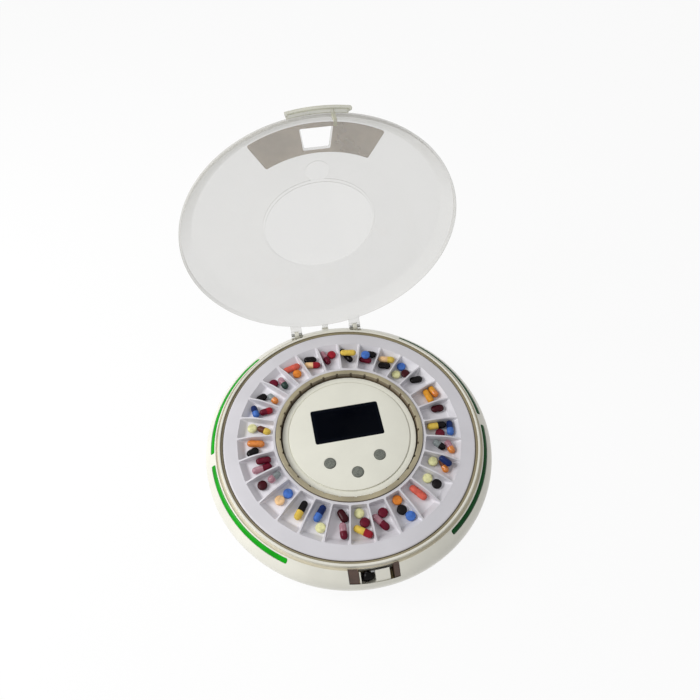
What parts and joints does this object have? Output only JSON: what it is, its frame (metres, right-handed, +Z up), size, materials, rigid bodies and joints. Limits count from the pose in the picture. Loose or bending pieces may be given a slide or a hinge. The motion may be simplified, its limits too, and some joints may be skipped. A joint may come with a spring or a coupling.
{
  "type": "electronic pill box",
  "caption": "Round electronic pill box: a motor-turned compartment tray around a display and buttons, under a clear hinged lid with a key lock.",
  "frame": {"origin": "centre of the casing on the table that the feet stand on", "axes": "+Z up, -Y towards the lock at the front, +Y towards the lid's hinge, +X to the right seen from the front"},
  "size_m": [0.22, 0.2293, 0.2514],
  "materials": {
    "casing_cream": "satin moulded",
    "tray_plastic": "fine satin",
    "collar_smoky": "smoky translucent",
    "gear_plastic": "plain moulded",
    "bright_steel": "zinc plated",
    "display_glass": "dark glossy window",
    "black_plastic": "plain moulded",
    "black_gloss": "glossy",
    "brown_plastic": "moulded",
    "button_grey": "mottled rubber",
    "circuit_board": "solder mask",
    "green_light": "translucent light guide",
    "battery_wrap": "wrapped cell",
    "foot_rubber": "soft",
    "lid_clear": "clear moulded",
    "mask_tinted": "smoky translucent film",
    "tab_tinted": "pale translucent"
  },
  "bodies": {
    "casing": {"base_shell": "casing_cream", "top_housing": "casing_cream", "hub_cover": "casing_cream", "latch_block": "casing_cream", "drive_motor": "bright_steel", "display_window": "display_glass", "lcd_module": "black_plastic", "main_board": "circuit_board", "buzzer": "black_plastic", "tray_sensor": "black_plastic", "light_window_1": "green_light", "led_strip_1": "circuit_board", "light_window_2": "green_light", "led_strip_2": "circuit_board", "light_window_3": "green_light", "led_strip_3": "circuit_board", "light_window_4": "green_light", "led_strip_4": "circuit_board", "lock_housing": "brown_plastic", "hinge_pin_left": "bright_steel", "hinge_pin_right": "bright_steel", "battery_1": "battery_wrap", "battery_2": "battery_wrap", "battery_3": "battery_wrap", "battery_4": "battery_wrap", "contact_plate_front": "bright_steel", "contact_plate_rear": "bright_steel", "foot_1": "foot_rubber", "foot_2": "foot_rubber", "foot_3": "foot_rubber", "foot_4": "foot_rubber", "housing_screw_1": "bright_steel", "housing_screw_2": "bright_steel", "housing_screw_3": "bright_steel", "housing_screw_4": "bright_steel"},
    "tray": {"pill_tray": "tray_plastic", "tray_collar": "collar_smoky"},
    "pinion": {"drive_pinion": "gear_plastic"},
    "lid": {"lid_shell": "lid_clear", "lid_mask": "mask_tinted", "latch_tab": "tab_tinted"},
    "lock": {"lock_barrel": "black_gloss", "lock_cam": "bright_steel"},
    "bolt": {"lock_bolt": "bright_steel"},
    "door": {"battery_door": "casing_cream"},
    "left_button": {"button_left": "button_grey"},
    "middle_button": {"button_middle": "button_grey"},
    "right_button": {"button_right": "button_grey"}
  },
  "joints": [
    {"name": "lid_hinge", "type": "hinge", "parent": "casing", "child": "lid", "pos_m": [0, 0.1045, 0.039], "axis": [1, 0, 0], "range_deg": [0, 90]},
    {"name": "tray_turn", "type": "hinge", "parent": "casing", "child": "tray", "pos_m": [0, 0, 0.036], "axis": [0, 0, 1], "continuous": true},
    {"name": "pinion_turn", "type": "hinge", "parent": "casing", "child": "pinion", "pos_m": [-0.03084, -0.03084, 0.0268], "axis": [0, 0, 1], "continuous": true},
    {"name": "key_turn", "type": "hinge", "parent": "casing", "child": "lock", "pos_m": [-0.0076, -0.104, 0.0344], "axis": [0, -1, 0], "range_deg": [0, 90]},
    {"name": "bolt_slide", "type": "slide", "parent": "casing", "child": "bolt", "axis": [1, 0, 0], "range_m": [0, 0.0034]},
    {"name": "battery_door_slide", "type": "slide", "parent": "casing", "child": "door", "axis": [0, 1, 0], "range_m": [0, 0.008]},
    {"name": "left_button_press", "type": "slide", "parent": "casing", "child": "left_button", "axis": [0, 0, -1], "range_m": [0, 0.001], "stiffness_N_per_m": 400, "springref_m": -0.0005},
    {"name": "middle_button_press", "type": "slide", "parent": "casing", "child": "middle_button", "axis": [0, 0, -1], "range_m": [0, 0.001], "stiffness_N_per_m": 400, "springref_m": -0.0005},
    {"name": "right_button_press", "type": "slide", "parent": "casing", "child": "right_button", "axis": [0, 0, -1], "range_m": [0, 0.001], "stiffness_N_per_m": 400, "springref_m": -0.0005}
  ],
  "couplings": [
    {"joint": "pinion_turn", "follows": "tray_turn", "ratio": 5.8},
    {"joint": "key_turn", "follows": "bolt_slide", "rad_per_m": 462}
  ]
}
